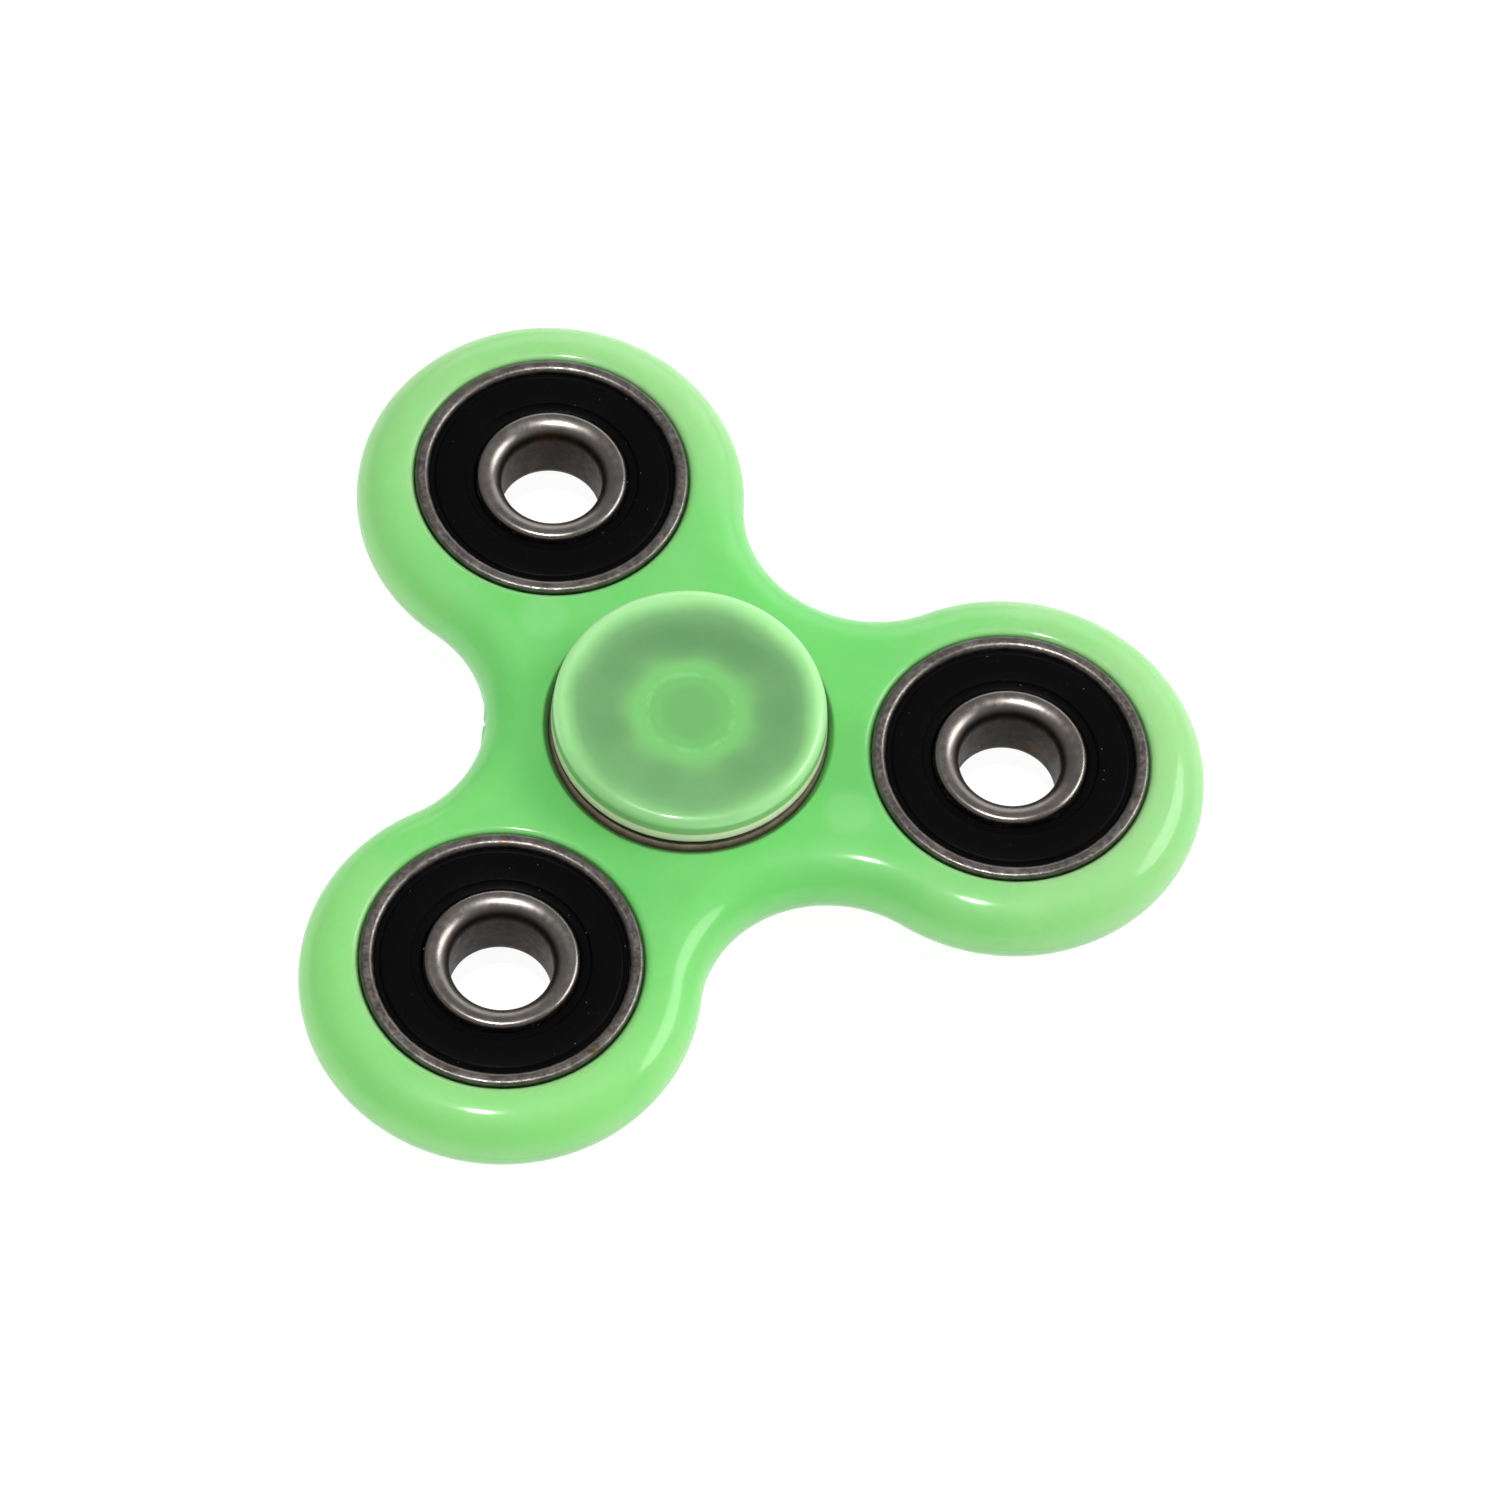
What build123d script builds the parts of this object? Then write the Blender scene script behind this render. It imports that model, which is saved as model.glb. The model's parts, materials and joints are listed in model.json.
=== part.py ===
from build123d import *
import os
from math import atan2, cos, degrees, hypot, radians, sin

# Three-lobed fidget spinner: a moulded body, an open bearing in its centre between two finger caps,
# and a sealed bearing in each lobe as a weight.
# Millimetres. The origin is the centre of the bottom cap's resting face. +Z runs up the spin axis and
# one lobe points along +X.

# ---- Ball bearings, all four of the same standard size ----
bearing_od = 22.0
bearing_bore = 8.0
bearing_width = 7.0
ball_count = 7
ball_diameter = 3.969
pitch_radius = (bearing_od + bearing_bore) / 4
race_radius = 2.06
inner_ring_od = 12.1
land_radius = 9.0
seal_seat_radius = 9.9
seal_seat_depth = 1.0
bore_round = 1.5
ring_corner = 0.35
inner_ring_corner = 0.45
seal_seat_round = 0.45

# ---- Stamped cage: two halves that meet at mid width, held by rivets between the balls ----
cage_inner_radius = 6.9
cage_outer_radius = 8.1
cage_sheet = 0.32
pocket_radius = 2.08
rivet_radius = 0.25
rivet_hole_radius = 0.28
rivet_head_radius = 0.42
rivet_head_height = 0.15

# ---- Rubber seals of the weight bearings ----
seal_outer_radius = 9.87
seal_inner_radius = 6.25
seal_base = 2.65
seal_face = 3.15
seal_lip_radius = 7.05
seal_lip_drop = 0.2
seal_bead_radius = 9.4
seal_bead_drop = 0.12

# ---- Moulded body ----
body_thickness = 6.8
lobe_distance = 25.5
lobe_radius = 15.7
waist = 16.1
edge_round = 3.2
seat_radius = bearing_od / 2 + 0.01
seat_lip_round = 0.75
lobe_angles = [0, 120, 240]

# ---- Scar of the mould's gate on the neck opposite lobe 1: a low flat with a notch torn in it ----
scar_length = 4.0
scar_height = 1.4
scar_depth = 0.6
scar_stands_out = 0.15
scar_round = 0.1
notch_radius = 0.5
notch_outside = 0.15
notch_offset = 0.4

# ---- Finger caps, heights measured outward from the bearing's face ----
cap_radius = 10.9
cap_crest = 3.3
cap_rim_base = 0.8
cap_rim_round = 0.88
cap_rim_wall = 1.4
cap_lip_top = 2.0
cap_lip_step = 0.12
cap_rest_width = 0.6
cap_dish = 0.45
cap_web_base = 1.9
cap_edge_chamfer = 0.25
collar_radius = 5.7
stub_radius = bearing_bore / 2 - 0.01
stub_length = 3.35
stub_lead = 0.3
stub_hollow_radius = 3.2
stub_hollow_top = 0.9

# ---- Heights and angles that follow ----
bearing_bottom = cap_crest
mid_height = bearing_bottom + bearing_width / 2
bearing_top = bearing_bottom + bearing_width
half_width = bearing_width / 2
race_depth = pitch_radius - race_radius
centre_ball_angle = 42.7
weight_ball_angles = [8, 137, 251]

os.makedirs("parts", exist_ok=True)


def write(piece, node):
    """Labels a finished piece with its node's name and writes its STEP file."""
    piece.part.label = node
    export_step(piece.part, f"parts/{node}.step")


def polar(radius, angle, height=mid_height):
    """The point at this radius and angle about the spin axis."""
    return (radius * cos(radians(angle)), radius * sin(radians(angle)), height)


def section_plane(centre):
    """The upright plane through a vertical axis: local X is the radius and local Y is the height."""
    return Plane(origin=centre, x_dir=(1, 0, 0), z_dir=(0, -1, 0))


def upright(centre):
    """The vertical axis through this point."""
    return Axis(centre, (0, 0, 1))


def rims(piece, radius, height):
    """The piece's round edges of this radius that lie this far above and below mid height."""
    return piece.edges().filter_by(GeomType.CIRCLE).filter_by(
        lambda edge: abs(edge.radius - radius) < 0.01
        and abs(abs(edge.center().Z - mid_height) - height) < 0.01
    )


# ---- Body ----

def lobed_outline():
    """Draws the body's outline: three lobe arcs joined by three concave neck arcs, all tangent."""
    neck_radius = (lobe_distance**2 + waist**2 - lobe_distance * waist - lobe_radius**2) / (
        2 * lobe_radius + lobe_distance - 2 * waist
    )
    neck_distance = waist + neck_radius
    neck_x = neck_distance * cos(radians(60)) - lobe_distance
    neck_y = neck_distance * sin(radians(60))
    lobe_half_arc = degrees(atan2(neck_y, neck_x))
    neck_half_arc = lobe_half_arc - 60
    for lobe_angle in lobe_angles:
        CenterArc(
            polar(lobe_distance, lobe_angle, 0),
            lobe_radius,
            lobe_angle - lobe_half_arc,
            2 * lobe_half_arc,
        )
        neck_angle = lobe_angle + 60
        CenterArc(
            polar(neck_distance, neck_angle, 0),
            neck_radius,
            neck_angle + 180 + neck_half_arc,
            -2 * neck_half_arc,
        )


def make_body():
    """The moulded body, with four seats whose mouths are rounded, and the scar of the mould's gate."""
    scar_face = -waist - scar_stands_out
    with BuildPart() as body:
        with BuildSketch(Plane.XY.offset(mid_height - body_thickness / 2)):
            with BuildLine():
                lobed_outline()
            make_face()
        extrude(amount=body_thickness)
        edges_by_height = body.edges().group_by(Axis.Z)
        fillet(edges_by_height[0] + edges_by_height[-1], edge_round)
        with BuildSketch(Plane.XY.offset(mid_height - body_thickness / 2)):
            Circle(seat_radius)
            with PolarLocations(lobe_distance, len(lobe_angles)):
                Circle(seat_radius)
        extrude(amount=body_thickness, mode=Mode.SUBTRACT)
        fillet(rims(body, seat_radius, body_thickness / 2), seat_lip_round)
        with Locations((scar_face + scar_depth / 2, 0, mid_height)):
            Box(scar_depth, scar_length, scar_height)
        scar_edges = body.edges().filter_by(Axis.Y)
        fillet(scar_edges.filter_by_position(Axis.X, scar_face - 0.01, scar_face + 0.01), scar_round)
        with Locations((scar_face - notch_outside, notch_offset, mid_height)):
            Cylinder(notch_radius, scar_height, mode=Mode.SUBTRACT)
    return body


# ---- Finger caps ----

def make_cap(section):
    """A finger cap, drawn as its half section: local Y is the distance outward from the bearing's face.

    A hollow stub presses into the bearing's bore, a collar stands on the inner ring, and the rim
    overhangs the outer ring without touching it. A lip runs round the rim's foot. The outer face is a
    shallow dish inside a flat crest.
    """
    rim_inner_radius = cap_radius - cap_rim_wall
    wall_radius = cap_radius - cap_lip_step
    crest_outer_radius = wall_radius - cap_rim_round
    crest_inner_radius = crest_outer_radius - cap_rest_width
    dish_radius = (crest_inner_radius**2 + cap_dish**2) / (2 * cap_dish)
    with BuildPart() as cap:
        with BuildSketch(section):
            with BuildLine():
                RadiusArc((0, cap_crest - cap_dish), (crest_inner_radius, cap_crest), dish_radius)
                Line((crest_inner_radius, cap_crest), (crest_outer_radius, cap_crest))
                RadiusArc(
                    (crest_outer_radius, cap_crest),
                    (wall_radius, cap_crest - cap_rim_round),
                    cap_rim_round,
                )
                Polyline(
                    (wall_radius, cap_crest - cap_rim_round),
                    (wall_radius, cap_lip_top + cap_lip_step),
                    (cap_radius, cap_lip_top),
                    (cap_radius, cap_rim_base + cap_edge_chamfer),
                    (cap_radius - cap_edge_chamfer, cap_rim_base),
                    (rim_inner_radius, cap_rim_base),
                    (rim_inner_radius, cap_web_base),
                    (collar_radius, cap_web_base),
                    (collar_radius, 0),
                    (stub_radius, 0),
                    (stub_radius, stub_lead - stub_length),
                    (stub_radius - stub_lead, -stub_length),
                    (stub_hollow_radius, -stub_length),
                    (stub_hollow_radius, stub_hollow_top),
                    (0, stub_hollow_top),
                    (0, cap_crest - cap_dish),
                )
            make_face()
        revolve(axis=Axis.Z)
    return cap


# ---- Bearing pieces, each made round the bearing's own centre ----

def make_outer_ring(centre):
    """The outer ring: a ball groove in its bore between two seal seats."""
    outer_radius = bearing_od / 2
    seat_floor = half_width - seal_seat_depth
    with BuildPart() as ring:
        with BuildSketch(section_plane(centre)):
            with Locations(((outer_radius + land_radius) / 2, 0)):
                Rectangle(outer_radius - land_radius, bearing_width)
            for side in (1, -1):
                with Locations(((seal_seat_radius + land_radius) / 2, side * (seat_floor + half_width) / 2)):
                    Rectangle(seal_seat_radius - land_radius, seal_seat_depth, mode=Mode.SUBTRACT)
            with Locations((pitch_radius, 0)):
                Circle(race_radius, mode=Mode.SUBTRACT)
        revolve(axis=upright(centre))
        fillet(rims(ring, outer_radius, half_width), ring_corner)
        fillet(rims(ring, seal_seat_radius, half_width), seal_seat_round)
    return ring


def make_inner_ring(centre):
    """The inner ring: a ball groove round its outside, and end faces that round over into the bore."""
    outer_radius = inner_ring_od / 2
    bore_radius = bearing_bore / 2
    with BuildPart() as ring:
        with BuildSketch(section_plane(centre)):
            with Locations(((outer_radius + bore_radius) / 2, 0)):
                Rectangle(outer_radius - bore_radius, bearing_width)
            with Locations((pitch_radius, 0)):
                Circle(race_radius, mode=Mode.SUBTRACT)
        revolve(axis=upright(centre))
        fillet(rims(ring, bore_radius, half_width), bore_round)
        fillet(rims(ring, outer_radius, half_width), inner_ring_corner)
    return ring


def make_cage_half(centre, first_ball, side):
    """One stamped half of a cage: flat between the balls and domed over each one."""
    rivet_angle = first_ball + 180 / ball_count
    with BuildPart(Plane(origin=centre)) as half:
        with BuildSketch(Plane(origin=centre)):
            Circle(cage_outer_radius)
            Circle(cage_inner_radius, mode=Mode.SUBTRACT)
        extrude(amount=side * cage_sheet)
        with PolarLocations(pitch_radius, ball_count, start_angle=first_ball):
            Sphere(pocket_radius + cage_sheet)
        with BuildSketch(Plane(origin=centre)):
            Circle(cage_outer_radius)
            Circle(cage_inner_radius, mode=Mode.SUBTRACT)
        extrude(amount=side * half_width, mode=Mode.INTERSECT)
        with PolarLocations(pitch_radius, ball_count, start_angle=first_ball):
            Sphere(pocket_radius, mode=Mode.SUBTRACT)
        with PolarLocations(pitch_radius, ball_count, start_angle=rivet_angle):
            Cylinder(rivet_hole_radius, bearing_width, mode=Mode.SUBTRACT)
    return half


def make_cage_rivets(centre, first_ball):
    """The seven rivets that hold the cage's halves together."""
    rivet_angle = first_ball + 180 / ball_count
    with BuildPart(Plane(origin=centre)) as rivets:
        with PolarLocations(pitch_radius, ball_count, start_angle=rivet_angle):
            Cylinder(rivet_radius, 2 * cage_sheet)
        for side in (1, -1):
            with BuildSketch(Plane(origin=centre).offset(side * cage_sheet)):
                with PolarLocations(pitch_radius, ball_count, start_angle=rivet_angle):
                    Circle(rivet_head_radius)
            extrude(amount=side * rivet_head_height)
    return rivets


def make_ball(centre):
    """One steel ball."""
    with BuildPart(Plane(origin=centre)) as ball:
        Sphere(ball_diameter / 2)
    return ball


def make_seal(centre, side):
    """A rubber seal: a flat washer with a lowered lip next to the inner ring and a bead at its outside."""
    with BuildPart() as seal:
        with BuildSketch(section_plane(centre)):
            with BuildLine():
                Polyline(
                    (seal_inner_radius, side * seal_base),
                    (seal_outer_radius, side * seal_base),
                    (seal_outer_radius, side * (seal_face - seal_bead_drop)),
                    (seal_bead_radius + seal_bead_drop, side * (seal_face - seal_bead_drop)),
                    (seal_bead_radius, side * seal_face),
                    (seal_lip_radius, side * seal_face),
                    (seal_lip_radius - seal_lip_drop, side * (seal_face - seal_lip_drop)),
                    (seal_inner_radius, side * (seal_face - seal_lip_drop)),
                    close=True,
                )
            make_face()
        revolve(axis=upright(centre))
    return seal


def write_bearing(prefix, centre, first_ball):
    """Makes and writes a bearing's rings, cage and balls."""
    write(make_outer_ring(centre), f"{prefix}_outer_ring")
    write(make_inner_ring(centre), f"{prefix}_inner_ring")
    write(make_cage_half(centre, first_ball, 1), f"{prefix}_cage_upper")
    write(make_cage_half(centre, first_ball, -1), f"{prefix}_cage_lower")
    write(make_cage_rivets(centre, first_ball), f"{prefix}_cage_rivets")
    for number in range(ball_count):
        ball_angle = radians(first_ball + number * 360 / ball_count)
        ball_centre = (
            centre[0] + pitch_radius * cos(ball_angle),
            centre[1] + pitch_radius * sin(ball_angle),
            centre[2],
        )
        write(make_ball(ball_centre), f"{prefix}_ball_{number + 1}")


# ---- The whole spinner ----

spinner_body = make_body()
write(spinner_body, "spinner_body")

cap_top = make_cap(Plane(origin=(0, 0, bearing_top), x_dir=(1, 0, 0), z_dir=(0, -1, 0)))
write(cap_top, "cap_top")
cap_bottom = make_cap(Plane(origin=(0, 0, bearing_bottom), x_dir=(1, 0, 0), z_dir=(0, 1, 0)))
write(cap_bottom, "cap_bottom")

write_bearing("centre", (0, 0, mid_height), centre_ball_angle)
for number, (lobe_angle, first_ball) in enumerate(zip(lobe_angles, weight_ball_angles), start=1):
    lobe_centre = polar(lobe_distance, lobe_angle)
    write_bearing(f"weight_{number}", lobe_centre, first_ball)
    write(make_seal(lobe_centre, 1), f"weight_{number}_seal_top")
    write(make_seal(lobe_centre, -1), f"weight_{number}_seal_bottom")
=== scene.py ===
import json
import math

import bmesh
import bpy
from mathutils import Matrix, Vector
from mathutils.geometry import delaunay_2d_cdt


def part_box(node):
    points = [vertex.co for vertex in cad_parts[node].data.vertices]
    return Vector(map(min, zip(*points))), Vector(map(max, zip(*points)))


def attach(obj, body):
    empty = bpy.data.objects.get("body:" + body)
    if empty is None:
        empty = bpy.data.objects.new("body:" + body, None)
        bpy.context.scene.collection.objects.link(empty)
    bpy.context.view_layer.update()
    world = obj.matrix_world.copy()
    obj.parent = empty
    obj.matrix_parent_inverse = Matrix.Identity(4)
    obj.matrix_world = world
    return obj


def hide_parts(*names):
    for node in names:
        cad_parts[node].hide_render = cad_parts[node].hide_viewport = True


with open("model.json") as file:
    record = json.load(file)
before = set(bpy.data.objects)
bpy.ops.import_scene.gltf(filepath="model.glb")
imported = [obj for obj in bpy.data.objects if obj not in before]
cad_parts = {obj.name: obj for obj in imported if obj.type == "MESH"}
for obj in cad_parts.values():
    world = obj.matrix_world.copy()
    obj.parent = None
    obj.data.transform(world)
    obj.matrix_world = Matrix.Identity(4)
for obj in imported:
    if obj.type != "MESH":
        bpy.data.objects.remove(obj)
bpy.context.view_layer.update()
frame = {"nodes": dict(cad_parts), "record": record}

# Fidget spinner: a translucent green body and finger caps round four steel ball bearings.
# Positions come from the CAD nodes' boxes. Shapes are drawn in millimetres, and MM turns them into metres.
MM = 0.001
TURN = 2 * math.pi

# ---- What the frame says, in millimetres ----


def box_mm(node):
    """A CAD node's lowest and highest corners, in millimetres."""
    low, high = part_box(node)
    return low / MM, high / MM


def centre_mm(node):
    """The middle of a CAD node's box, in millimetres."""
    low, high = box_mm(node)
    return (low + high) / 2


BODY_OF = {node: body for body, nodes in frame["record"]["behaviour"]["bodies"].items() for node in nodes}

body_low, body_high = box_mm("spinner_body")
ring_low, ring_high = box_mm("centre_outer_ring")
inner_low, inner_high = box_mm("centre_inner_ring")
cap_low, cap_high = box_mm("cap_top")
seal_low, seal_high = box_mm("weight_1_seal_top")

MID_HEIGHT = (ring_low.z + ring_high.z) / 2
BEARING_RADIUS = (ring_high.x - ring_low.x) / 2
HALF_WIDTH = (ring_high.z - ring_low.z) / 2
INNER_RADIUS = (inner_high.x - inner_low.x) / 2
BODY_HALF = (body_high.z - body_low.z) / 2
LOBE_DISTANCE = centre_mm("weight_1_outer_ring").x
LOBE_RADIUS = body_high.x - LOBE_DISTANCE
LOBE_ANGLES = (0, TURN / 3, 2 * TURN / 3)
LOBE_CENTRES = [(LOBE_DISTANCE * math.cos(a), LOBE_DISTANCE * math.sin(a)) for a in LOBE_ANGLES]
CAP_RADIUS = (cap_high.x - cap_low.x) / 2
CAP_CREST = cap_high.z - ring_high.z
SEAL_FACE = seal_high.z - MID_HEIGHT
SEAL_RADIUS = (seal_high.x - seal_low.x) / 2

# ---- Sizes of the details, in millimetres ----
WAIST = 16.1
EDGE_ROUND = 3.2
EDGE_REACH = 3.85
EDGE_INSET = 0.03
PARTING_INSET = 0.01
SEAT_LIP = 0.75
SEAT_RADIUS = BEARING_RADIUS + 0.01

RING_CORNER = 0.35
SEAL_SEAT_RADIUS = 9.9
SEAL_SEAT_ROUND = 0.45
SEAL_SEAT_FLOOR = 2.5
LAND_RADIUS = 9.0
PITCH_RADIUS = 7.5
RACE_RADIUS = 2.06
BORE_RADIUS = 4.0
BORE_ROUND = 1.5
SHOULDER_ROUND = 0.45
SEAL_BASE = 2.65
SEAL_LIP_GAP = 0.08

CAP_RIM_ROUND = 0.88
CAP_LIP_STEP = 0.12
CAP_LIP_ROUND = 0.25
CAP_BASE = 0.6
CAP_REST_WIDTH = 0.6
CAP_DISH = 0.45
COLLAR_RADIUS = 5.7
STUB_RADIUS = 3.99
STUB_HOLLOW = 3.2
STUB_REACH = 3.35

LATHE_STEPS = 192
SEAT_STEPS = 144
OUTLINE_STEP = 0.35
SMOOTH_ANGLE = 32

# ---- The viewpoint: angles in degrees, and a place in millimetres from the top of the centre bearing ----
VIEW_AZIMUTH = 1.396
VIEW_ELEVATION = 60.13
VIEW_ROLL = 6.45
VIEW_PLACE = (-1.404, -263.470, 455.862)
SENSOR_WIDTH = 36
FOCAL_SHARE = 4.456633


# ---- Mesh helpers ----

def arc(centre, radius, start, end, steps):
    """Points on an arc of a section, from one angle to the other in degrees, both ends included."""
    angles = [math.radians(start + (end - start) * i / steps) for i in range(steps + 1)]
    return [(centre[0] + radius * math.cos(a), centre[1] + radius * math.sin(a)) for a in angles]


def finish_mesh(name, vertices, faces):
    """Makes an object from vertices in millimetres, smooth except where faces meet at a sharp angle."""
    mesh = bpy.data.meshes.new(name)
    mesh.from_pydata([Vector(v) * MM for v in vertices], [], faces)
    mesh.validate()
    mesh.polygons.foreach_set("use_smooth", [True] * len(mesh.polygons))
    mesh.set_sharp_from_angle(angle=math.radians(SMOOTH_ANGLE))
    piece = bpy.data.objects.new(name, mesh)
    bpy.context.scene.collection.objects.link(piece)
    return piece


def lathe(name, section, centre):
    """Turns a section of (radius, height) points round a vertical axis. Points on the axis become poles."""
    vertices = []
    loops = []
    for radius, height in section:
        count = LATHE_STEPS if radius > 1e-6 else 1
        loops.append(range(len(vertices), len(vertices) + count))
        for i in range(count):
            angle = TURN * i / LATHE_STEPS
            vertices.append((radius * math.cos(angle), radius * math.sin(angle), height))
    open_ended = section[0][0] <= 1e-6
    pairs = list(zip(loops, loops[1:])) + ([] if open_ended else [(loops[-1], loops[0])])
    faces = []
    for below, above in pairs:
        for i in range(LATHE_STEPS):
            j = (i + 1) % LATHE_STEPS
            if len(below) == 1:
                faces.append((below[0], above[j], above[i]))
            elif len(above) == 1:
                faces.append((below[i], below[j], above[0]))
            else:
                faces.append((below[i], below[j], above[j], above[i]))
    piece = finish_mesh(name, vertices, faces)
    turn_outward(piece)
    piece.location = Vector(centre) * MM
    return piece


def turn_outward(piece):
    """Makes every face of a closed mesh point outward."""
    shell = bmesh.new()
    shell.from_mesh(piece.data)
    bmesh.ops.recalc_face_normals(shell, faces=shell.faces)
    shell.to_mesh(piece.data)
    shell.free()


# ---- Shader helpers ----

def new_material(name):
    """A material with its node tree and its Principled shader."""
    material = bpy.data.materials.new(name)
    material.use_nodes = True
    return material, material.node_tree, material.node_tree.nodes["Principled BSDF"]


def feed(tree, socket, value):
    """Gives a socket a plain value, or links it to another node's output."""
    if isinstance(value, bpy.types.NodeSocket):
        tree.links.new(value, socket)
    else:
        socket.default_value = value


def add(tree, kind, settings=None, **inputs):
    """Adds a node. An input's underscores stand for spaces in its name."""
    node = tree.nodes.new(kind)
    for key, value in (settings or {}).items():
        setattr(node, key, value)
    for key, value in inputs.items():
        feed(tree, node.inputs[key.replace("_", " ")], value)
    return node


def maths(tree, operation, first, second=0.0):
    """A sum, product or other operation on two numbers."""
    node = add(tree, "ShaderNodeMath", {"operation": operation})
    feed(tree, node.inputs[0], first)
    feed(tree, node.inputs[1], second)
    return node.outputs[0]


def remap(tree, value, low, high, to_low=0.0, to_high=1.0):
    """Maps a range of a number to another range, smoothly, and holds it there."""
    node = add(tree, "ShaderNodeMapRange", {"interpolation_type": "SMOOTHSTEP"}, Value=value)
    node.inputs["From Min"].default_value = low
    node.inputs["From Max"].default_value = high
    node.inputs["To Min"].default_value = to_low
    node.inputs["To Max"].default_value = to_high
    return node.outputs[0]


def blend_colour(tree, factor, first, second):
    """Mixes two colours."""
    node = add(tree, "ShaderNodeMix", {"data_type": "RGBA"})
    feed(tree, node.inputs["Factor"], factor)
    for socket, value in ((node.inputs[6], first), (node.inputs[7], second)):
        feed(tree, socket, value if isinstance(value, bpy.types.NodeSocket) else (*value, 1.0))
    return node.outputs[2]


def place(tree):
    """The position on the object, in metres, which doesn't change as the joints turn."""
    return add(tree, "ShaderNodeTexCoord").outputs["Object"]


def noise(tree, scale, detail=3.0, roughness=0.5, vector=None):
    """A noise between 0 and 1, with the scale in lumps per metre."""
    where = vector or place(tree)
    return add(
        tree, "ShaderNodeTexNoise", Vector=where, Scale=scale, Detail=detail, Roughness=roughness
    ).outputs["Fac"]


def bump(tree, shader, height, distance, strength):
    """Drives a shader's normal from a height that spans this distance in metres."""
    node = add(tree, "ShaderNodeBump", Height=height, Strength=strength, Distance=distance)
    tree.links.new(node.outputs["Normal"], shader.inputs["Normal"])


def away_from(tree, centre):
    """The level distance from an upright axis through this point, in metres."""
    flat = add(tree, "ShaderNodeVectorMath", {"operation": "MULTIPLY"})
    tree.links.new(place(tree), flat.inputs[0])
    flat.inputs[1].default_value = (1, 1, 0)
    gap = add(tree, "ShaderNodeVectorMath", {"operation": "DISTANCE"})
    tree.links.new(flat.outputs[0], gap.inputs[0])
    gap.inputs[1].default_value = (centre[0], centre[1], 0)
    return gap.outputs["Value"]


def own_radius(tree):
    """The distance from a turned piece's own axis, in metres."""
    return away_from(tree, (0, 0))


def own_spot(tree):
    """A random place in the noise for each piece, so that like pieces don't wear alike."""
    shift = add(tree, "ShaderNodeObjectInfo").outputs["Location"]
    where = add(tree, "ShaderNodeVectorMath", {"operation": "ADD"})
    tree.links.new(place(tree), where.inputs[0])
    tree.links.new(shift, where.inputs[1])
    return where.outputs[0]


def split(tree, vector):
    """The X, Y and Z of a vector."""
    return add(tree, "ShaderNodeSeparateXYZ", Vector=vector).outputs


def ramp(tree, value, high, stops):
    """A colour that changes smoothly along stops of (value, colour), with values up to this high."""
    node = add(tree, "ShaderNodeValToRGB")
    node.color_ramp.interpolation = "LINEAR"
    tree.links.new(maths(tree, "DIVIDE", value, high), node.inputs["Fac"])
    marks = node.color_ramp.elements
    while len(marks) < len(stops):
        marks.new(1.0)
    for mark, (where, colour) in zip(marks, stops):
        mark.position = where / high
        mark.color = (*colour, 1.0)
    return node.outputs["Color"]


# ---- Materials ----

def body_plastic():
    """Translucent green plastic: deep green between the bearings, milkier towards the lobes' ends, glossy."""
    material, tree, shader = new_material("body_plastic")
    outward = remap(tree, away_from(tree, (0, 0)), 0.0115, 0.036)
    cloud = remap(tree, noise(tree, 130, 3), 0.35, 0.65, -0.15, 0.15)
    tone = maths(tree, "ADD", outward, cloud)
    x, y, z = split(tree, place(tree))
    # Painted light: the outer tone is paler towards +X and +Y, standing in for the side and back lights.
    lit_side_across = maths(tree, "ADD", maths(tree, "MULTIPLY", x, 0.6), maths(tree, "MULTIPLY", y, 0.8))
    milky_painted_side_light = blend_colour(tree, remap(tree, lit_side_across, -0.026, 0.026), (0.262, 0.66, 0.20), (0.305, 0.62, 0.24))
    green = blend_colour(tree, tone, (0.152, 0.60, 0.138), milky_painted_side_light)
    # Painted shade: below the middle height the green is darker, as if in shadow.
    low = remap(tree, z, (MID_HEIGHT + 0.8) * MM, (MID_HEIGHT - 1.6) * MM)
    shaded_below = blend_colour(tree, low, green, (0.20, 0.50, 0.17))
    middle = away_from(tree, (0, 0))
    rim = maths(tree, "SUBTRACT", middle, 0.0003)
    for seat_x, seat_y in LOBE_CENTRES:
        rim = maths(tree, "MINIMUM", rim, away_from(tree, (seat_x * MM, seat_y * MM)))
    # Painted shade: a dark green line round each bearing seat, where the body meets the ring.
    gap = remap(tree, rim, 0.01132, 0.01106)
    shaded_colour = blend_colour(tree, maths(tree, "MULTIPLY", gap, 0.8), shaded_below, (0.030, 0.085, 0.018))
    shade = remap(tree, away_from(tree, (0.0130, -0.0018)), 0.0065, 0.0015, 0.0, 0.5)
    shaded_colour = blend_colour(tree, shade, shaded_colour, (0.112, 0.46, 0.104))
    for spot in ((0.0131, -0.0065), (-0.0122, 0.0087)):
        mark = remap(tree, away_from(tree, spot), 0.0024, 0.0014, 0.0, 0.22)
        shaded_colour = blend_colour(tree, mark, shaded_colour, (0.36, 0.70, 0.33))
    specks = remap(tree, noise(tree, 900, 2), 0.79, 0.83)
    marked = blend_colour(tree, specks, shaded_colour, (0.10, 0.30, 0.08))
    tree.links.new(marked, shader.inputs["Base Color"])
    shader.inputs["Subsurface Weight"].default_value = 1.0
    shader.inputs["Subsurface Radius"].default_value = (0.7, 1.5, 0.65)
    shader.inputs["Subsurface Scale"].default_value = 0.0022
    shader.inputs["IOR"].default_value = 1.47
    shader.inputs["Coat Weight"].default_value = 0.5
    shader.inputs["Coat Roughness"].default_value = 0.11
    wear = noise(tree, 500, 4, 0.6)
    tree.links.new(remap(tree, wear, 0.35, 0.75, 0.48, 0.58), shader.inputs["Roughness"])
    bump(tree, shader, noise(tree, 260, 4), 0.00006, 0.8)
    return material


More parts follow.
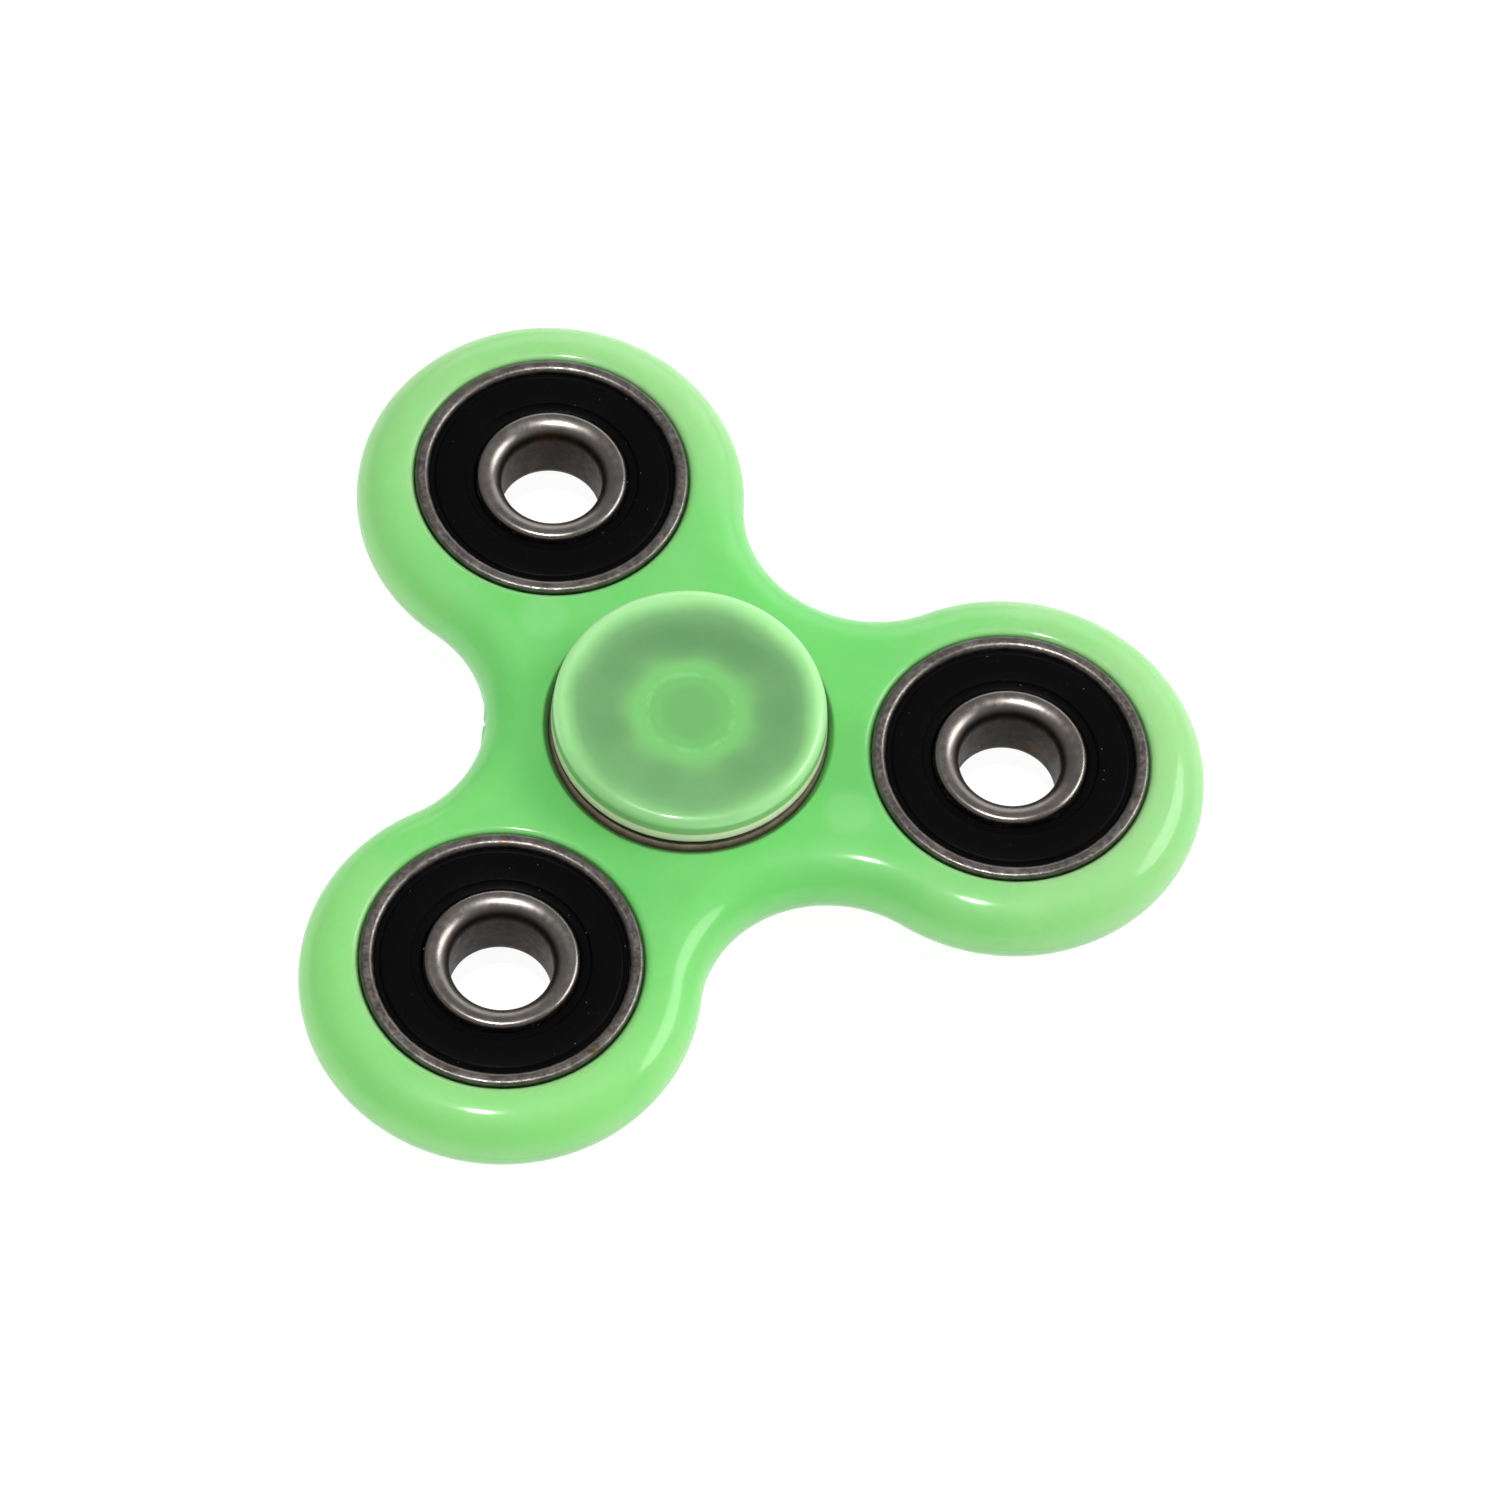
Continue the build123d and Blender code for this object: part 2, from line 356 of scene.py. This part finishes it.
def cap_plastic():
    """Milky plastic: pale where it is thick at the rim, greyer over the open bearing, green at the boss."""
    material, tree, shader = new_material("cap_plastic")
    radius = away_from(tree, (0, -0.0005))
    edge = own_radius(tree)
    x, y, z = split(tree, place(tree))
    height = maths(tree, "ABSOLUTE", z)
    wobble = remap(tree, noise(tree, 300, 3), 0.3, 0.7, -0.00012, 0.00012)
    petals = maths(tree, "COSINE", maths(tree, "MULTIPLY", maths(tree, "ARCTAN2", y, x), 7.0))
    glow = maths(tree, "MULTIPLY", petals, remap(tree, radius, 0.0040, 0.0055, 0.0, 0.00010))
    face = ramp(
        tree,
        maths(tree, "ADD", maths(tree, "ADD", radius, wobble), glow),
        0.011,
        [
            (0.0, (0.160, 0.445, 0.138)),
            (0.0020, (0.163, 0.455, 0.140)),
            (0.0026, (0.178, 0.500, 0.150)),
            (0.0032, (0.172, 0.505, 0.150)),
            (0.0039, (0.190, 0.555, 0.163)),
            (0.0043, (0.192, 0.550, 0.163)),
            (0.0047, (0.196, 0.498, 0.164)),
            (0.0053, (0.178, 0.428, 0.152)),
            (0.0062, (0.155, 0.365, 0.138)),
            (0.0080, (0.153, 0.362, 0.138)),
            (0.0088, (0.178, 0.410, 0.158)),
            (0.0094, (0.250, 0.560, 0.215)),
            (0.0101, (0.370, 0.740, 0.315)),
            (0.0106, (0.390, 0.760, 0.335)),
        ],
    )
    front = remap(tree, y, -0.002, -0.009, 0.0, 0.35)
    face = blend_colour(tree, front, face, (0.225, 0.50, 0.20))
    inside = remap(tree, radius, 0.0086, 0.0072)
    annulus = maths(tree, "MULTIPLY", remap(tree, radius, 0.0043, 0.0054), inside)
    # Painted shade: the annulus is darker towards the back (+Y).
    back = maths(tree, "MULTIPLY", annulus, remap(tree, y, 0.0030, 0.0060, 0.0, 0.5))
    face = blend_colour(tree, back, face, (0.102, 0.275, 0.094))
    balls = maths(tree, "MULTIPLY", annulus, remap(tree, petals, -0.4, 1.0, 0.0, 0.24))
    face = blend_colour(tree, balls, face, (0.102, 0.300, 0.108))
    # Painted highlight: a thin bright circle round the boss, broken into glints.
    glint_ring = remap(tree, maths(tree, "ABSOLUTE", maths(tree, "SUBTRACT", radius, 0.00345)), 0.00040, 0.00008)
    painted_glints = maths(tree, "MULTIPLY", glint_ring, remap(tree, noise(tree, 1300, 2), 0.42, 0.62, 0.08, 0.32))
    face = blend_colour(tree, painted_glints, face, (0.30, 0.72, 0.27))
    # Painted glow: the foot of the cap's side is pale cream, as if lit through the plastic; above it the side
    # is darker green.
    painted_glow_wall = blend_colour(tree, remap(tree, height, 0.00528, 0.00508), (0.27, 0.55, 0.22), (0.90, 0.99, 0.66))
    side = maths(tree, "MULTIPLY", remap(tree, edge, 0.01068, 0.01076), remap(tree, height, 0.0062, 0.0058))
    tree.links.new(blend_colour(tree, side, face, painted_glow_wall), shader.inputs["Base Color"])
    shader.inputs["Subsurface Weight"].default_value = 0.8
    shader.inputs["Subsurface Radius"].default_value = (0.9, 1.2, 0.8)
    shader.inputs["Subsurface Scale"].default_value = 0.0016
    shader.inputs["IOR"].default_value = 1.46
    shader.inputs["Coat Weight"].default_value = 0.5
    shader.inputs["Coat Roughness"].default_value = 0.08
    tree.links.new(remap(tree, noise(tree, 900, 5), 0.3, 0.7, 0.34, 0.44), shader.inputs["Roughness"])
    bump(tree, shader, noise(tree, 300, 3), 0.00003, 0.4)
    return material


def ring_steel(name, dark, light, bare=1.0, dull=0.30):
    """Ground bearing steel between two colours, with specks of rust. Old oil dulls it."""
    material, tree, shader = new_material(name)
    spot = own_spot(tree)
    mottle = remap(tree, noise(tree, 800, 5, 0.6, spot), 0.25, 0.75)
    steel = blend_colour(tree, mottle, dark, light)
    rust = remap(tree, noise(tree, 520, 4, 0.6, spot), 0.67, 0.73)
    stained = blend_colour(tree, maths(tree, "MULTIPLY", rust, 0.8), steel, (0.20, 0.10, 0.04))
    tree.links.new(stained, shader.inputs["Base Color"])
    shader.inputs["Metallic"].default_value = bare
    grain = noise(tree, 2600, 3, 0.6, spot)
    tree.links.new(remap(tree, grain, 0.35, 0.65, dull, dull + 0.18), shader.inputs["Roughness"])
    bump(tree, shader, grain, 0.00003, 0.7)
    return material


def bore_steel():
    """The inner ring's steel: dull bright on its face, dark and rusty down its bore."""
    material, tree, shader = new_material("bore_steel")
    spot = own_spot(tree)
    smear = noise(tree, 420, 4, vector=spot)
    steel = blend_colour(tree, smear, (0.210, 0.187, 0.168), (0.32, 0.295, 0.27))
    dull = blend_colour(tree, noise(tree, 500, 6, 0.65, spot), (0.010, 0.0075, 0.005), (0.028, 0.023, 0.019))
    rust = remap(tree, noise(tree, 380, 6, 0.7, spot), 0.50, 0.66)
    bore = blend_colour(tree, rust, dull, (0.045, 0.022, 0.009))
    face = remap(tree, own_radius(tree), 0.00412, 0.00472)
    tree.links.new(blend_colour(tree, face, bore, steel), shader.inputs["Base Color"])
    shader.inputs["Metallic"].default_value = 1.0
    grain = remap(tree, noise(tree, 1500, 4, 0.6, spot), 0.35, 0.65, -0.04, 0.04)
    level = maths(tree, "SUBTRACT", 0.54, maths(tree, "MULTIPLY", face, 0.23))
    tree.links.new(maths(tree, "ADD", level, grain), shader.inputs["Roughness"])
    bump(tree, shader, noise(tree, 2500, 4, 0.6, spot), 0.000010, 0.5)
    return material


def ball_steel():
    """Polished steel with a faint film of grease."""
    material, tree, shader = new_material("ball_steel")
    film = noise(tree, 800, 4)
    tone = blend_colour(tree, film, (0.56, 0.55, 0.53), (0.66, 0.66, 0.65))
    tree.links.new(tone, shader.inputs["Base Color"])
    shader.inputs["Metallic"].default_value = 1.0
    tree.links.new(remap(tree, film, 0.3, 0.7, 0.08, 0.2), shader.inputs["Roughness"])
    bump(tree, shader, noise(tree, 3000, 2), 0.00001, 0.3)
    return material


def cage_steel():
    """Stamped sheet steel, duller than the rings."""
    material, tree, shader = new_material("cage_steel")
    grain = noise(tree, 1500, 5, 0.6)
    tone = blend_colour(tree, grain, (0.40, 0.39, 0.36), (0.56, 0.55, 0.52))
    tree.links.new(tone, shader.inputs["Base Color"])
    shader.inputs["Metallic"].default_value = 1.0
    tree.links.new(remap(tree, grain, 0.3, 0.7, 0.3, 0.5), shader.inputs["Roughness"])
    bump(tree, shader, grain, 0.00003, 0.5)
    return material


def seal_rubber():
    """Black moulded rubber with a fine grain and specks of dust."""
    material, tree, shader = new_material("seal_rubber")
    spot = own_spot(tree)
    dust = remap(tree, noise(tree, 3600, 2, 0.5, spot), 0.755, 0.80)
    smear = noise(tree, 300, 5, 0.5, spot)
    haze = blend_colour(tree, smear, (0.0008, 0.0007, 0.0009), (0.0022, 0.002, 0.0023))
    tree.links.new(blend_colour(tree, dust, haze, (0.16, 0.16, 0.17)), shader.inputs["Base Color"])
    grain = noise(tree, 6000, 4, 0.7, spot)
    tree.links.new(remap(tree, grain, 0.3, 0.7, 0.36, 0.5), shader.inputs["Roughness"])
    shader.inputs["Specular IOR Level"].default_value = 0.045
    bump(tree, shader, grain, 0.00002, 0.5)
    return material


# ---- Pieces ----

def add_piece(piece, body, node, material):
    """Gives a piece its material and body, in place of its CAD node."""
    piece.data.materials.append(material)
    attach(piece, body)
    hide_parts(node)


def body_outline():
    """The body's outline, as (x, y, outward x, outward y) points on tangent lobe and neck arcs."""
    neck_radius = (LOBE_DISTANCE**2 + WAIST**2 - LOBE_DISTANCE * WAIST - LOBE_RADIUS**2) / (
        2 * LOBE_RADIUS + LOBE_DISTANCE - 2 * WAIST
    )
    neck_distance = WAIST + neck_radius
    neck = (neck_distance * math.cos(TURN / 6), neck_distance * math.sin(TURN / 6))
    lobe_half = math.atan2(neck[1], neck[0] - LOBE_DISTANCE)
    neck_half = lobe_half - TURN / 6
    points = []
    for lobe_angle in LOBE_ANGLES:
        neck_angle = lobe_angle + TURN / 6
        runs = [
            (LOBE_DISTANCE, lobe_angle, LOBE_RADIUS, lobe_angle - lobe_half, 2 * lobe_half, 1),
            (neck_distance, neck_angle, neck_radius, neck_angle + TURN / 2 + neck_half, -2 * neck_half, -1),
        ]
        for distance, angle, radius, start, sweep, outward in runs:
            steps = int(radius * abs(sweep) / OUTLINE_STEP)
            for i in range(steps):
                a = start + sweep * i / steps
                x = distance * math.cos(angle) + radius * math.cos(a)
                y = distance * math.sin(angle) + radius * math.sin(a)
                points.append((x, y, outward * math.cos(a), outward * math.sin(a)))
    return points


def gate_scar(x, y, height):
    """How far the gate's scar pushes the outline outward: a low flat, with a notch torn in it."""
    if x > -WAIST + 1.5 or abs(y) > 3.5 or abs(height) > 0.8:
        return 0.0
    flat = max(0.0, 0.16 - 0.049 * y * y)
    notch = 0.36 * math.exp(-((y - 0.4) / 0.33) ** 4)
    return (flat - notch) * min(1, (0.8 - abs(height)) / 0.15)


def body_edge_section():
    """The body's edge as (inset, height) points from the top face's edge round to the bottom's."""
    land = BODY_HALF - EDGE_ROUND
    quarter = arc((0, 0), 1, 90, 0, 24)
    upper = [(EDGE_INSET + EDGE_REACH * (1 - c), land + EDGE_ROUND * s) for c, s in quarter]
    ridge = [(EDGE_INSET, 0.09), (PARTING_INSET, 0.035), (PARTING_INSET, -0.035), (EDGE_INSET, -0.09)]
    lower = [(inset, -height) for inset, height in reversed(upper)]
    return upper + ridge + lower


def make_body():
    """The moulded body: rounded lobes with a parting line and a gate scar, and four lipped seats."""
    outline = body_outline()
    section = body_edge_section()
    lip = arc((SEAT_RADIUS + SEAT_LIP, BODY_HALF - SEAT_LIP), SEAT_LIP, 90, 180, 8)
    seat_section = lip + [(radius, -height) for radius, height in reversed(lip)]
    vertices = []
    faces = []
    top_loops = []
    bottom_loops = []

    def strip(rows, flip):
        for below, above in zip(rows, rows[1:]):
            count = len(below)
            for i in range(count):
                j = (i + 1) % count
                quad = (below[i], below[j], above[j], above[i])
                faces.append(quad[::-1] if flip else quad)
        top_loops.append(rows[0])
        bottom_loops.append(rows[-1])

    rows = []
    for inset, height in section:
        rows.append([])
        for x, y, out_x, out_y in outline:
            out = gate_scar(x, y, height) - inset
            rows[-1].append(len(vertices))
            vertices.append((x + out_x * out, y + out_y * out, MID_HEIGHT + height))
    strip(rows, flip=True)
    for x, y in [(0, 0)] + LOBE_CENTRES:
        rows = []
        for radius, height in seat_section:
            rows.append([])
            for i in range(SEAT_STEPS):
                a = TURN * i / SEAT_STEPS
                rows[-1].append(len(vertices))
                vertices.append((x + radius * math.cos(a), y + radius * math.sin(a), MID_HEIGHT + height))
        strip(rows, flip=False)
    for loops, upward in ((top_loops, True), (bottom_loops, False)):
        faces.extend(flat_face(vertices, loops, upward))
    piece = finish_mesh("spinner_body_shell", vertices, faces)
    turn_outward(piece)
    return piece


def flat_face(vertices, loops, upward):
    """Triangles that fill the first loop of vertices and leave the other loops open."""
    order = [index for loop in loops for index in loop]
    flat = [Vector(vertices[index][:2]) for index in order]
    edges = []
    start = 0
    for loop in loops:
        count = len(loop)
        edges.extend((start + i, start + (i + 1) % count) for i in range(count))
        start += count
    made = delaunay_2d_cdt(flat, edges, [], 0, 1e-7)
    corners = made[0]
    back = [sources[0] for sources in made[3]]
    holes = [(vertices[loop[0]], vertices[loop[len(loop) // 2]]) for loop in loops[1:]]
    rim = [Vector(vertices[index][:2]) for index in loops[0]]
    triangles = []
    for face in made[2]:
        middle = sum((corners[i] for i in face), Vector((0, 0))) / len(face)
        in_hole = False
        for near, far in holes:
            centre = Vector(((near[0] + far[0]) / 2, (near[1] + far[1]) / 2))
            radius = (Vector(near[:2]) - centre).length
            in_hole = in_hole or (middle - centre).length < radius * 0.9995
        if in_hole or not contains(rim, middle):
            continue
        triangle = tuple(order[back[i]] for i in face)
        triangles.append(triangle if upward else triangle[::-1])
    return triangles


def contains(polygon, point):
    """True if the point is inside the polygon."""
    inside = False
    for a, b in zip(polygon, polygon[1:] + polygon[:1]):
        if (a.y > point.y) != (b.y > point.y):
            if point.x < a.x + (point.y - a.y) / (b.y - a.y) * (b.x - a.x):
                inside = not inside
    return inside


def cap_section():
    """A finger cap's section, with heights from the bearing's face outward."""
    rim = CAP_RADIUS - CAP_LIP_STEP
    crest_outer = rim - CAP_RIM_ROUND
    crest_inner = crest_outer - CAP_REST_WIDTH
    dish_radius = (crest_inner**2 + CAP_DISH**2) / (2 * CAP_DISH)
    bowl = []
    for i in range(1, 24):
        radius = crest_inner * i / 24
        drop = math.sqrt(dish_radius**2 - radius**2) - math.sqrt(dish_radius**2 - crest_inner**2)
        bowl.append((radius, CAP_CREST - drop))
    crest = arc((crest_outer, CAP_CREST - CAP_RIM_ROUND), CAP_RIM_ROUND, 90, 0, 12)
    lip = [(rim, 2.16), (rim + 0.01, 2.02), (CAP_RADIUS - 0.02, 1.25)]
    lip_foot = arc((CAP_RADIUS - CAP_LIP_ROUND, CAP_BASE + CAP_LIP_ROUND), CAP_LIP_ROUND, 0, -90, 6)
    underside = [
        (9.5, CAP_BASE), (9.45, CAP_BASE + 0.05), (9.4, 1.85), (9.3, 1.9), (COLLAR_RADIUS + 0.15, 1.9),
        (COLLAR_RADIUS, 1.75), (COLLAR_RADIUS, 0),
    ]
    stub = [
        (STUB_RADIUS, 0), (STUB_RADIUS, 0.3 - STUB_REACH), (STUB_RADIUS - 0.3, -STUB_REACH),
        (STUB_HOLLOW, -STUB_REACH), (STUB_HOLLOW, 0.8), (STUB_HOLLOW - 0.1, 0.9), (0, 0.9),
    ]
    top = [(0, CAP_CREST - CAP_DISH)] + bowl + [(crest_inner, CAP_CREST)] + crest
    return top + lip + lip_foot + underside + stub


def outer_ring_section():
    """The outer ring's section, about the bearing's middle."""
    corner = arc((BEARING_RADIUS - RING_CORNER, HALF_WIDTH - RING_CORNER), RING_CORNER, 0, 90, 8)
    mouth_centre = (SEAL_SEAT_RADIUS + SEAL_SEAT_ROUND, HALF_WIDTH - SEAL_SEAT_ROUND)
    mouth = arc(mouth_centre, SEAL_SEAT_ROUND, 90, 180, 9)
    upper = corner + mouth + [(SEAL_SEAT_RADIUS, SEAL_SEAT_FLOOR), (LAND_RADIUS, SEAL_SEAT_FLOOR)]
    reach = math.degrees(math.acos((LAND_RADIUS - PITCH_RADIUS) / RACE_RADIUS))
    race = arc((PITCH_RADIUS, 0), RACE_RADIUS, reach, -reach, 24)
    return upper + race + [(radius, -height) for radius, height in reversed(upper)]


def inner_ring_section():
    """The inner ring's section, about the bearing's middle."""
    mouth = arc((BORE_RADIUS + BORE_ROUND, HALF_WIDTH - BORE_ROUND), BORE_ROUND, 180, 90, 20)
    shoulder = arc((INNER_RADIUS - SHOULDER_ROUND, HALF_WIDTH - SHOULDER_ROUND), SHOULDER_ROUND, 90, 0, 8)
    reach = math.degrees(math.acos((PITCH_RADIUS - INNER_RADIUS) / RACE_RADIUS))
    race = arc((PITCH_RADIUS, 0), RACE_RADIUS, 180 - reach, 180 + reach, 24)
    upper = mouth + shoulder
    return upper + race + [(radius, -height) for radius, height in reversed(upper)]


def seal_section(side):
    """A seal's section: a bead at its outside, a flat web, and a lip that all but meets the inner ring."""
    lip = INNER_RADIUS + SEAL_LIP_GAP
    glint_ring = [(SEAL_RADIUS, 2.95), (SEAL_RADIUS - 0.06, 3.02), (SEAL_RADIUS - 0.3, 3.03), (9.48, 3.0)]
    web = [(9.42, 3.05), (9.33, 3.13), (9.25, SEAL_FACE), (7.12, SEAL_FACE), (7.04, 3.13), (6.95, 3.02)]
    inside = [(6.88, 2.96), (6.4, 2.95), (6.28, 2.9), (lip, 2.75), (lip, SEAL_BASE), (SEAL_RADIUS, SEAL_BASE)]
    return [(radius, side * height) for radius, height in glint_ring + web + inside]


def make_pieces():
    """Makes every piece that shows, and gives the CAD nodes that stay their materials."""
    green = body_plastic()
    frosted = cap_plastic()
    steel = ring_steel("ring_steel", (0.140, 0.124, 0.112), (0.245, 0.225, 0.208))
    # The centre outer ring gets a brown, mostly matte copy of the steel: partly old oil, partly painted light
    # for the light that comes through the cap onto it.
    oiled_lit_steel = ring_steel("ring_steel_oiled_lit", (0.115, 0.092, 0.060), (0.185, 0.152, 0.105), bare=0.3, dull=0.55)
    bore = bore_steel()
    balls = ball_steel()
    cage = cage_steel()
    rubber = seal_rubber()
    add_piece(make_body(), "rotor", "spinner_body", green)
    for node, side in (("cap_top", 1), ("cap_bottom", -1)):
        section = [(radius, side * (HALF_WIDTH + height)) for radius, height in cap_section()]
        cap = lathe(node + "_shell", section, (0, 0, MID_HEIGHT))
        add_piece(cap, BODY_OF[node], node, frosted)
    for prefix in ("centre", "weight_1", "weight_2", "weight_3"):
        centre = centre_mm(prefix + "_outer_ring")
        for part, section, metal in (
            ("outer_ring", outer_ring_section(), steel),
            ("inner_ring", inner_ring_section(), bore),
        ):
            node = f"{prefix}_{part}"
            chosen = oiled_lit_steel if node == "centre_outer_ring" else metal
            add_piece(lathe(node + "_steel", section, centre), BODY_OF[node], node, chosen)
    for weight in (1, 2, 3):
        centre = centre_mm(f"weight_{weight}_outer_ring")
        for name, side in (("top", 1), ("bottom", -1)):
            node = f"weight_{weight}_seal_{name}"
            seal = lathe(node + "_rubber", seal_section(side), centre)
            add_piece(seal, BODY_OF[node], node, rubber)
    for name, node in frame["nodes"].items():
        if "_ball_" in name or "_cage_" in name:
            node.data.materials.clear()
            node.data.materials.append(balls if "_ball_" in name else cage)


# ---- Stage, lights and camera ----

def make_floor():
    """A large white sheet that the spinner's bottom cap stands on, bright enough to show no shadow."""
    size = 3.0
    corners = [(-size, -size, 0), (size, -size, 0), (size, size, 0), (-size, size, 0)]
    floor = finish_mesh("floor", [Vector(c) / MM for c in corners], [(0, 1, 2, 3)])
    material, tree, shader = new_material("floor_white")
    tone = blend_colour(tree, noise(tree, 4, 2), (0.29, 0.29, 0.29), (0.31, 0.31, 0.31))
    tree.links.new(tone, shader.inputs["Base Color"])
    shader.inputs["Roughness"].default_value = 0.9
    shader.inputs["Specular IOR Level"].default_value = 0.0
    shader.inputs["Emission Color"].default_value = (1, 1, 1, 1)
    shader.inputs["Emission Strength"].default_value = 0.92
    floor.data.materials.append(material)


def add_light(name, azimuth, elevation, distance, size, power):
    """A soft light in this direction from the spinner. Azimuth 0 is +X and 90 is +Y."""
    a, e = math.radians(azimuth), math.radians(elevation)
    way = Vector((math.cos(a) * math.cos(e), math.sin(a) * math.cos(e), math.sin(e)))
    light = bpy.data.lights.new(name, "AREA")
    light.shape = "ELLIPSE"
    light.size, light.size_y = size
    light.energy = power
    lamp = bpy.data.objects.new(name, light)
    lamp.location = way * distance
    lamp.rotation_mode = "QUATERNION"
    lamp.rotation_quaternion = way.to_track_quat("Z", "Y")
    bpy.context.scene.collection.objects.link(lamp)


def make_lights():
    """A small key light almost overhead, soft lights on the right and behind, and a dim surround."""
    add_light("key", -105, 78.6, 2.0, (0.09, 0.09), 26.4)
    add_light("side", 16, 38, 1.2, (0.9, 0.5), 6.6)
    add_light("back", 80, 20, 1.2, (1.6, 0.6), 3.0)
    world = bpy.data.worlds.new("studio")
    world.use_nodes = True
    surround = world.node_tree.nodes["Background"]
    surround.inputs["Color"].default_value = (0.97, 0.97, 1.0, 1)
    surround.inputs["Strength"].default_value = 0.27
    bpy.context.scene.world = world
    bpy.context.scene.view_settings.view_transform = "Standard"


def make_camera():
    """The camera at the viewpoint, turned by its roll about the way it looks."""
    azimuth, elevation, roll = (math.radians(a) for a in (VIEW_AZIMUTH, VIEW_ELEVATION, VIEW_ROLL))
    ahead = Vector((math.sin(azimuth), math.cos(azimuth), 0))
    forward = ahead * math.cos(elevation) - Vector((0, 0, 1)) * math.sin(elevation)
    level = Vector((math.cos(azimuth), -math.sin(azimuth), 0))
    rise = level.cross(forward)
    right = level * math.cos(roll) + rise * math.sin(roll)
    up = right.cross(forward)
    camera = bpy.data.cameras.new("camera")
    camera.sensor_width = SENSOR_WIDTH
    camera.lens = SENSOR_WIDTH * FOCAL_SHARE
    camera.clip_start, camera.clip_end = 0.01, 10
    eye = bpy.data.objects.new("camera", camera)
    spot = (Vector(VIEW_PLACE) + Vector((0, 0, ring_high.z))) * MM
    turn = Matrix((right, up, -forward)).transposed().to_4x4()
    eye.matrix_world = Matrix.Translation(spot) @ turn
    bpy.context.scene.collection.objects.link(eye)
    bpy.context.scene.camera = eye


make_pieces()
make_floor()
make_lights()
make_camera()
